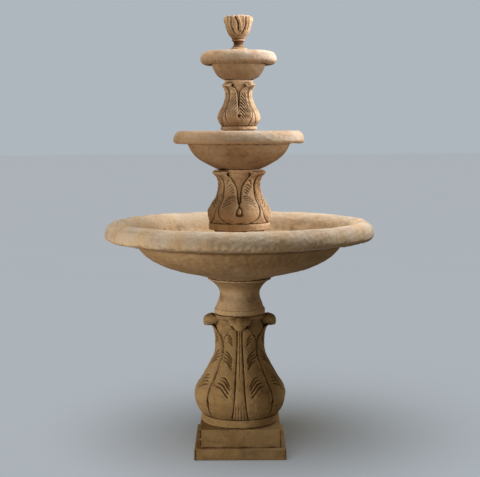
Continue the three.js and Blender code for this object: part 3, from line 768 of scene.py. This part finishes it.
def basin():
    """The wide basin, with a fat rolled lip and a drain hole behind the pump."""
    foot, head, rim = extent("basin")
    crest, middle, drain = 536, 190, 58
    under = joined(
        straight((20, 0), (136, 0), 12), arc((136, 4), 4, 4, -90, -20, 4),
        smooth([(141, 3), (180, 15), (233, 28), (319, 51), (389, 84), (429, 117), (449, 144),
                (459, 156)], 62),
        smooth([(459, 156), (472, 159), (500, 163), (535, 166), (570, 173), (585, 181), (590, 192)],
               34))
    roll = arc((crest, middle), rim - crest, head - foot - middle, 4, 92, 24)
    inside = smooth([(534, head - foot), (504, 242), (478, 218), (450, 173), (400, 121), (330, 85),
                     (230, 61), (135, 50)], 70)
    floor = joined(straight((135, 50), (23, 50), 12), arc((23, 47), 3, 3, 90, 180, 4),
                   straight((20, 47), (17.5, 2), 7), straight((17.5, 2), (20, 0), 2))
    outline = joined(under, roll, inside, floor)
    lip = smoothstep(440, 520, outline[:, :1]) * smoothstep(150, 185, outline[:, 1:])
    centre = drain * (1 - smoothstep(20, 132, outline[:, 0]))
    grid = turned(outline + [0, foot], 520, centre)
    grid = weathered(grid, 61, 1.6)
    grid[:, :, 2] = np.minimum(grid[:, :, 2], head)
    flat = np.hypot(grid[:, :, 0], grid[:, :, 1])
    grid[:, :, :2] *= np.minimum(1, rim / flat)[:, :, None]
    grid[:, :, :2] = np.clip(grid[:, :, :2], -rim, rim)
    # Painted shadow: a dark band in the crease where the lip rolls under.
    under_lip = ridge(np.hypot(outline[:, :1] - 458, outline[:, 1:] - 154), 9)
    painted_shade = np.broadcast_to(under_lip * 0.55, grid.shape[:2])
    piece = grid_object("rolled_lip_basin", grid, 4, 5, painted_shade, lip)
    return mounted(piece, WARM_STONE, "basin")


def upper_bowl(node, under, throat, lip, inside, columns, seed):
    """A round bowl with a rolled lip and a raised hub in its middle for the water pipe.

    under and inside are its outlines either side of the lip, whose arc is centred on lip, and
    throat is where the lip rolls under.
    """
    foot, head, rim = extent(node)
    crest, middle = lip
    outline = joined(
        straight((8.4, 0), (under[0][0] - 3, 0), 10), smooth([(under[0][0] - 2, 0), *under], 62),
        arc((crest, middle), rim - crest, head - foot - middle, 3, 92, 18),
        smooth([(crest - 2, head - foot), *inside], 52),
        straight(inside[-1], (inside[-1][0], head - foot - 3), 8),
        arc((inside[-1][0] - 3, head - foot - 3), 3, 3, 0, 90, 4),
        straight((inside[-1][0] - 3, head - foot), (8.4, head - foot), 8),
        straight((8.4, head - foot), (8.4, 0), 30))
    # A groove is cut where the lip rolls under, and it is also painted dark: painted shadow under the
    # lip.
    under_lip = ridge(np.hypot(outline[:, :1] - throat[0], outline[:, 1:] - throat[1]), 5.5)
    grid = turned(outline + [0, foot], columns)
    grid = weathered(grid - normals(grid) * 4 * under_lip[:, :, None], seed)
    grid[:, :, 2] = np.minimum(grid[:, :, 2], head)
    on_lip = smoothstep(0.74, 0.84, outline[:, :1] / rim)
    on_lip = on_lip * smoothstep(middle - 16, middle, outline[:, 1:])
    # Painted shadow under the lip.
    painted_shade = np.broadcast_to(under_lip * 0.95, grid.shape[:2])
    # Painted light: the lip's top is given the paler tone, most on its right side.
    piece = grid_object(f"{node}_casting", grid, 4, 2.6, painted_shade, on_lip * lit_from_right(columns))
    return mounted(piece, BOWL_STONE, node)


def middle_bowl():
    under = [(101, 1), (132, 16), (175, 42), (206, 73), (222, 103), (230, 113), (246, 114), (266, 110),
             (279, 112), (285, 119), (286, 125)]
    inside = [(232, 151), (216, 121), (184, 80), (135, 51), (104, 41), (84, 55), (75, 80), (72, 101)]
    return upper_bowl("middle_bowl", under, (232, 114), (251, 125), inside, 380, 71)


def top_bowl():
    under = [(70, 1), (89, 13), (104, 33), (114, 58), (118, 71), (126, 71), (136, 66), (147, 63.5),
             (158, 69), (164, 77), (166, 85.5)]
    inside = [(122, 109), (107, 82), (84, 54), (60, 34), (48, 38), (42, 52), (40, 67)]
    return upper_bowl("top_bowl", under, (119, 71), (136, 85.5), inside, 320, 83)


for make in (plinth, lower_pedestal, bowl_stem, basin):
    make()
UPPER = [make() for make in (middle_pedestal, middle_bowl, top_pedestal, top_bowl, finial)]

# ---- Inner pieces ----


def blunted(corners, radius):
    """A closed outline of corners, each rounded off a little."""
    corners = np.asarray(corners, float)
    sides = [np.roll(corners, step, axis=0) - corners for step in (1, -1)]
    back, on = (side * np.minimum(radius / np.hypot(*side.T), 0.28)[:, None] for side in sides)
    points = [corners + 1.7 * back, corners + back, corners + (back + on) / 4, corners + on,
              corners + 1.7 * on]
    return np.stack(points, axis=1).reshape(-1, 2)


def lathe(name, node, corners, material, radius=0.4, columns=80):
    """A turned piece in place of a CAD node. Its corners are [radius, height above its foot]."""
    low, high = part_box(node)
    middle = (low + high) / 2 / MM
    grid = turned(blunted(corners, radius), columns) + [middle.x, middle.y, low.z / MM]
    return mounted(grid_object(name, grid), material, node)


def pipe(name, node, bore, material):
    """A round pipe or flat ring as long and as wide as its CAD node."""
    foot, head, outer = extent(node)
    tall = head - foot
    return lathe(name, node, [(bore, 0), (outer, 0), (outer, tall), (bore, tall)], material)


def threaded(name, node):
    """A brass hose nipple: a barb at each end and a screw thread between them."""
    foot, head, thread = extent(node)
    tall, bore = head - foot, 4.5
    barb, barb_length, hook_pitch, hook_depth = 6.4, 24, 6, 0.7
    screw_pitch, screw_depth = 2, 0.6
    outer = np.array([(thread if barb_length <= z <= tall - barb_length else barb, z)
                      for z in np.arange(0, tall, 0.5)])
    grid = turned(joined(outer, straight((barb, tall), (bore, tall), 3),
                         straight((bore, tall), (bore, 0), 12)) + [0, foot], 64)
    radius, height = np.hypot(grid[:, :, 0], grid[:, :, 1]), grid[:, :, 2] - foot
    angle = np.arctan2(grid[:, :, 1], grid[:, :, 0])
    screw = screw_depth * (1 + np.cos(2 * math.pi * height / screw_pitch - angle)) / 2
    screw *= radius > thread - 0.1
    from_end = np.minimum(height, tall - height)
    hooks = hook_depth * (1 - (from_end % hook_pitch) / hook_pitch)
    hooks *= (np.abs(radius - barb) < 0.1) * (from_end < 3 * hook_pitch)
    grid[:, :, :2] *= (1 - (screw + hooks) / radius)[:, :, None]
    return mounted(grid_object(name, grid, 2, 0.5), BRASS, node)


def cut_through(piece, section, start, end, along):
    """Cuts a straight passage out of a piece for good, from start to end along the X or Y axis.

    section is the passage's outline, as (across, height) points in anticlockwise order.
    """
    count = len(section)
    places = np.array([(across, far, height) for far in (start, end) for across, height in section])
    faces = [(k, (k + 1) % count, count + (k + 1) % count, count + k) for k in range(count)]
    faces += [tuple(range(count))[::-1], tuple(range(count, 2 * count))]
    if along == "X":
        places = places[:, [1, 0, 2]]
    else:
        faces = [face[::-1] for face in faces]
    mesh = bpy.data.meshes.new("passage")
    mesh.from_pydata((places * MM).tolist(), [], faces)
    tool = placed("passage", mesh)
    cut = piece.modifiers.new("cut", "BOOLEAN")
    cut.operation = "DIFFERENCE"
    cut.solver = "EXACT"
    cut.object = tool
    view = bpy.context.evaluated_depsgraph_get()
    made = bpy.data.meshes.new_from_object(piece.evaluated_get(view))
    piece.modifiers.clear()
    piece.data = made
    bpy.data.objects.remove(tool)


def chamber():
    """The drum over the pump, with a water slot at its foot on each side."""
    foot, head, rim = extent("pump_chamber")
    wall, inner, lid, mouth, tall = rim - 12, rim - 38, 30, 30, head - foot
    slot_half, slot_height, far = 17, 24, 200
    outline = joined(
        straight((inner, 0), (rim - 2, 0), 8), arc((rim - 2, 2), 2, 2, -90, 0, 4),
        straight((rim, 2), (rim, 16), 6), arc((rim - 2, 16), 2, 2, 0, 60, 4),
        smooth([(rim - 2, 18), (wall + 5, 22), (wall + 1, 27), (wall, 34)], 10),
        straight((wall, 34), (wall, tall - 4), 40), arc((wall - 4, tall - 4), 4, 4, 0, 90, 6),
        straight((wall - 4, tall), (mouth, tall), 24), straight((mouth, tall), (mouth, tall - lid), 8),
        straight((mouth, tall - lid), (inner, tall - lid), 14),
        straight((inner, tall - lid), (inner, 0), 30))
    grid = weathered(turned(outline + [0, foot], 240), 67, 0.8)
    grid[:, :, 2] = np.clip(grid[:, :, 2], foot, head)
    piece = grid_object("pump_chamber_drum", grid, 3, 2.4)
    sill, crown = foot - 10, foot + slot_height
    slot = [(-slot_half, sill), (slot_half, sill), (slot_half, crown), (-slot_half, crown)]
    for along in "XY":
        cut_through(piece, slot, -far, far, along)
    return mounted(piece, WARM_STONE, "pump_chamber")


def rings_and_pipes():
    """The gaskets under the castings, and the pipes, nipples and washers on the axis."""
    bores = {"plinth": 122, "stem": 62, "basin": 90, "middle_pedestal": 60, "middle_bowl": 50,
             "top_pedestal": 34, "top_bowl": 34, "finial": 21}
    for place, bore in bores.items():
        pipe(f"rubber_gasket_{place}", f"gasket_{place}", bore, RUBBER)
    for bowl in ("middle_bowl", "top_bowl"):
        for end in ("lower", "upper"):
            pipe(f"rubber_washer_{bowl}_{end}", f"washer_{bowl}_{end}", 8.4, RUBBER)
        threaded(f"threaded_nipple_{bowl}", f"nipple_{bowl}")
    for end in ("lower", "upper"):
        pipe(f"vinyl_tube_{end}", f"supply_tube_{end}", 6.7, VINYL)


def small_fittings():
    """The stopper, the spout, and what is fixed to the pump's housing."""
    lathe("tapered_drain_stopper", "drain_stopper",
          [(3.5, 0), (17.7, 0), (19.2, 30), (25, 30), (25, 34), (3.5, 34)], RUBBER, 0.8)
    lathe("brass_spout", "spout",
          [(6.7, 0), (8.8, 0), (8.8, 60.3), (13, 60.3), (13, 63), (9, 69), (4, 69), (6.7, 54)],
          BRASS, 0.5)
    lathe("barbed_outlet_adapter", "outlet_adapter",
          [(4.5, 0), (7.3, 0), (7.3, 14.3), (11, 14.3), (11, 19), (6.4, 19), (6.4, 43), (4.5, 43)],
          GREY_PLASTIC)
    lathe("soft_cord_gland", "pump_cord_gland",
          [(2.6, 0), (4.6, 0), (4.6, 7.3), (8, 7.3), (8, 12), (4.4, 21), (2.6, 21)], RUBBER)
    for place in ("rear_left", "rear_right", "front_left", "front_right"):
        lathe(f"suction_foot_{place}", f"pump_foot_{place}",
              [(3, 0), (9, 0), (4.5, 6), (4.5, 11.4), (1.5, 11.4), (1.5, 5)], RUBBER, columns=48)


def smooth_by_angle():
    """Modifier nodes that shade faces smooth, but keep edges over 35 degrees sharp."""
    group = bpy.data.node_groups.new("smooth_by_angle", "GeometryNodeTree")
    for way in ("INPUT", "OUTPUT"):
        group.interface.new_socket("Geometry", in_out=way, socket_type="NodeSocketGeometry")
    add, link = group.nodes.new, group.links.new
    source, result = add("NodeGroupInput"), add("NodeGroupOutput")
    bare = add("GeometryNodeRemoveAttribute")
    bare.inputs["Name"].default_value = "custom_normal"
    faces, edges = add("GeometryNodeSetShadeSmooth"), add("GeometryNodeSetShadeSmooth")
    edges.domain = "EDGE"
    edges.inputs["Shade Smooth"].default_value = False
    angle = add("GeometryNodeInputMeshEdgeAngle")
    sharp = add("FunctionNodeCompare")
    sharp.operation = "GREATER_THAN"
    sharp.inputs["B"].default_value = math.radians(35)
    link(angle.outputs["Unsigned Angle"], sharp.inputs["A"])
    link(source.outputs[0], bare.inputs["Geometry"])
    link(bare.outputs["Geometry"], faces.inputs["Geometry"])
    link(faces.outputs["Geometry"], edges.inputs["Geometry"])
    link(sharp.outputs["Result"], edges.inputs["Selection"])
    link(edges.outputs["Geometry"], result.inputs[0])
    return group


CARRIED = {
    "pump_motor": BLACK_PLASTIC, "pump_volute": BLACK_PLASTIC, "pump_front_cover": BLACK_PLASTIC,
    "flow_dial": GREY_PLASTIC, "impeller": GREY_PLASTIC, "rotor_magnet": MAGNET,
    "rotor_shaft": CERAMIC,
}


def carry_over():
    """Finishes the CAD pieces that nothing has replaced, with their edges softened."""
    shading = smooth_by_angle()
    for node, piece in frame["nodes"].items():
        if piece.hide_render:
            continue
        plain = BRASS if node.startswith("locknut") else RUBBER
        piece.data.materials.clear()
        piece.data.materials.append(CARRIED.get(node, plain))
        piece.modifiers.new("welded", "WELD").merge_threshold = 0.02 * MM
        rounded = piece.modifiers.new("rounded", "BEVEL")
        rounded.width = 0.6 * MM
        rounded.segments = 2
        rounded.limit_method = "ANGLE"
        rounded.angle_limit = math.radians(40)
        piece.modifiers.new("smoothed", "NODES").node_group = shading


for make in (chamber, rings_and_pipes, small_fittings, carry_over):
    make()

# ---- Stage ----


def only(light, *receivers, leave_out=False):
    """Makes a light fall on some objects only, or on all but those."""
    group = bpy.data.collections.new(light.name + "_group")
    for piece in receivers:
        group.objects.link(piece)
    if leave_out:
        for entry in group.collection_objects:
            entry.light_linking.link_state = "EXCLUDE"
    light.light_linking.receiver_collection = group


def backdrop():
    """A pale floor, and surroundings of the same tone."""
    f = Finish("studio_floor")
    tone = f.mix(f.noise(0.8, 2, 0.5), (0.61, 0.71, 0.84, 1), (0.63, 0.73, 0.86, 1))
    mesh = bpy.data.meshes.new("floor")
    far = 60
    mesh.from_pydata([(-far, -far, 0), (far, -far, 0), (far, far, 0), (-far, far, 0)], [],
                     [(0, 1, 2, 3)])
    mesh.materials.append(f.finish(tone, 0.9, f.bump(f.noise(30), 0.0002, 0.1)))
    floor = placed("floor", mesh)
    floor.location.z = -0.0005
    floor.visible_diffuse = False
    world = bpy.data.worlds.new("studio")
    bpy.context.scene.world = world
    world.use_nodes = True
    tree = world.node_tree
    tint = tree.nodes.new("ShaderNodeMix")
    tint.data_type = "RGBA"
    tint.inputs["A"].default_value = (0.225, 0.188, 0.137, 1)
    tint.inputs["B"].default_value = colour(174, 183, 190)
    seen = tree.nodes.new("ShaderNodeLightPath").outputs["Is Camera Ray"]
    tree.links.new(seen, tint.inputs["Factor"])
    tree.links.new(tint.outputs["Result"], tree.nodes["Background"].inputs["Color"])
    return floor


def lamp(name, place, aim, power, tint, spread, kind="AREA"):
    """A light at a place, aimed at a point. spread is a softbox's width, or a sun's angle."""
    light = bpy.data.lights.new(name, kind)
    light.energy = power
    light.color = tint
    if kind == "SUN":
        light.angle = spread
    else:
        light.size = spread
    piece = placed(name, light)
    piece.location = place
    piece.rotation_euler = (Vector(place) - Vector(aim)).to_track_quat("Z", "Y").to_euler()
    return piece


def lights(floor):
    """Soft lights that leave the floor out, closer ones for the upper tiers, and the floor's own."""
    key = lamp("key", (1.45, 0.2, 2.75), (0, 0, 1.25), 46, (1.0, 0.98, 0.96), 0.6)
    top = lamp("top", (-0.2, 0.1, 3.4), (0, 0, 1.0), 52, (1.0, 0.97, 0.93), 1.6)
    fill = lamp("fill", (-1.6, -1.15, 0.35), (0, 0, 0.65), 28, (1.0, 0.92, 0.8), 1.0)
    side = lamp("side", (1.9, -0.25, 1.3), (0, 0, 1.5), 19, (1.0, 0.96, 0.9), 0.7)
    high_side = lamp("high_side", (1.9, -0.45, 1.7), (0, 0, 1.6), 31, (1.0, 0.96, 0.92), 0.7)
    high_fill = lamp("high_fill", (-1.9, -0.45, 1.5), (0, 0, 1.6), 9, (1.0, 0.95, 0.88), 0.8)
    for light in (key, top, fill):
        only(light, floor, leave_out=True)
    middle_tier, top_tier, top_castings = UPPER[:2], UPPER[2:], UPPER[2:4]
    only(side, *middle_tier)
    only(high_side, *top_tier)
    only(high_fill, *top_castings)
    sun = lamp("floor_light", (-1, -2, 6), (0, 0, 0), 1.5, (1, 1, 1), math.radians(60), "SUN")
    only(sun, floor)


def camera():
    """Just above the middle bowl, looking slightly down."""
    distance, height, pitch, roll = 4.7, 1.415, 5.74, 0.26
    data = bpy.data.cameras.new("camera")
    data.sensor_width = 36
    data.lens = 80.3
    data.clip_end = 200
    eye = placed("camera", data)
    eye.location = (0.005, -distance, height)
    eye.rotation_euler = (math.radians(90 - pitch), math.radians(roll), 0)
    bpy.context.scene.camera = eye


lights(backdrop())
camera()
bpy.context.scene.view_settings.view_transform = "Standard"
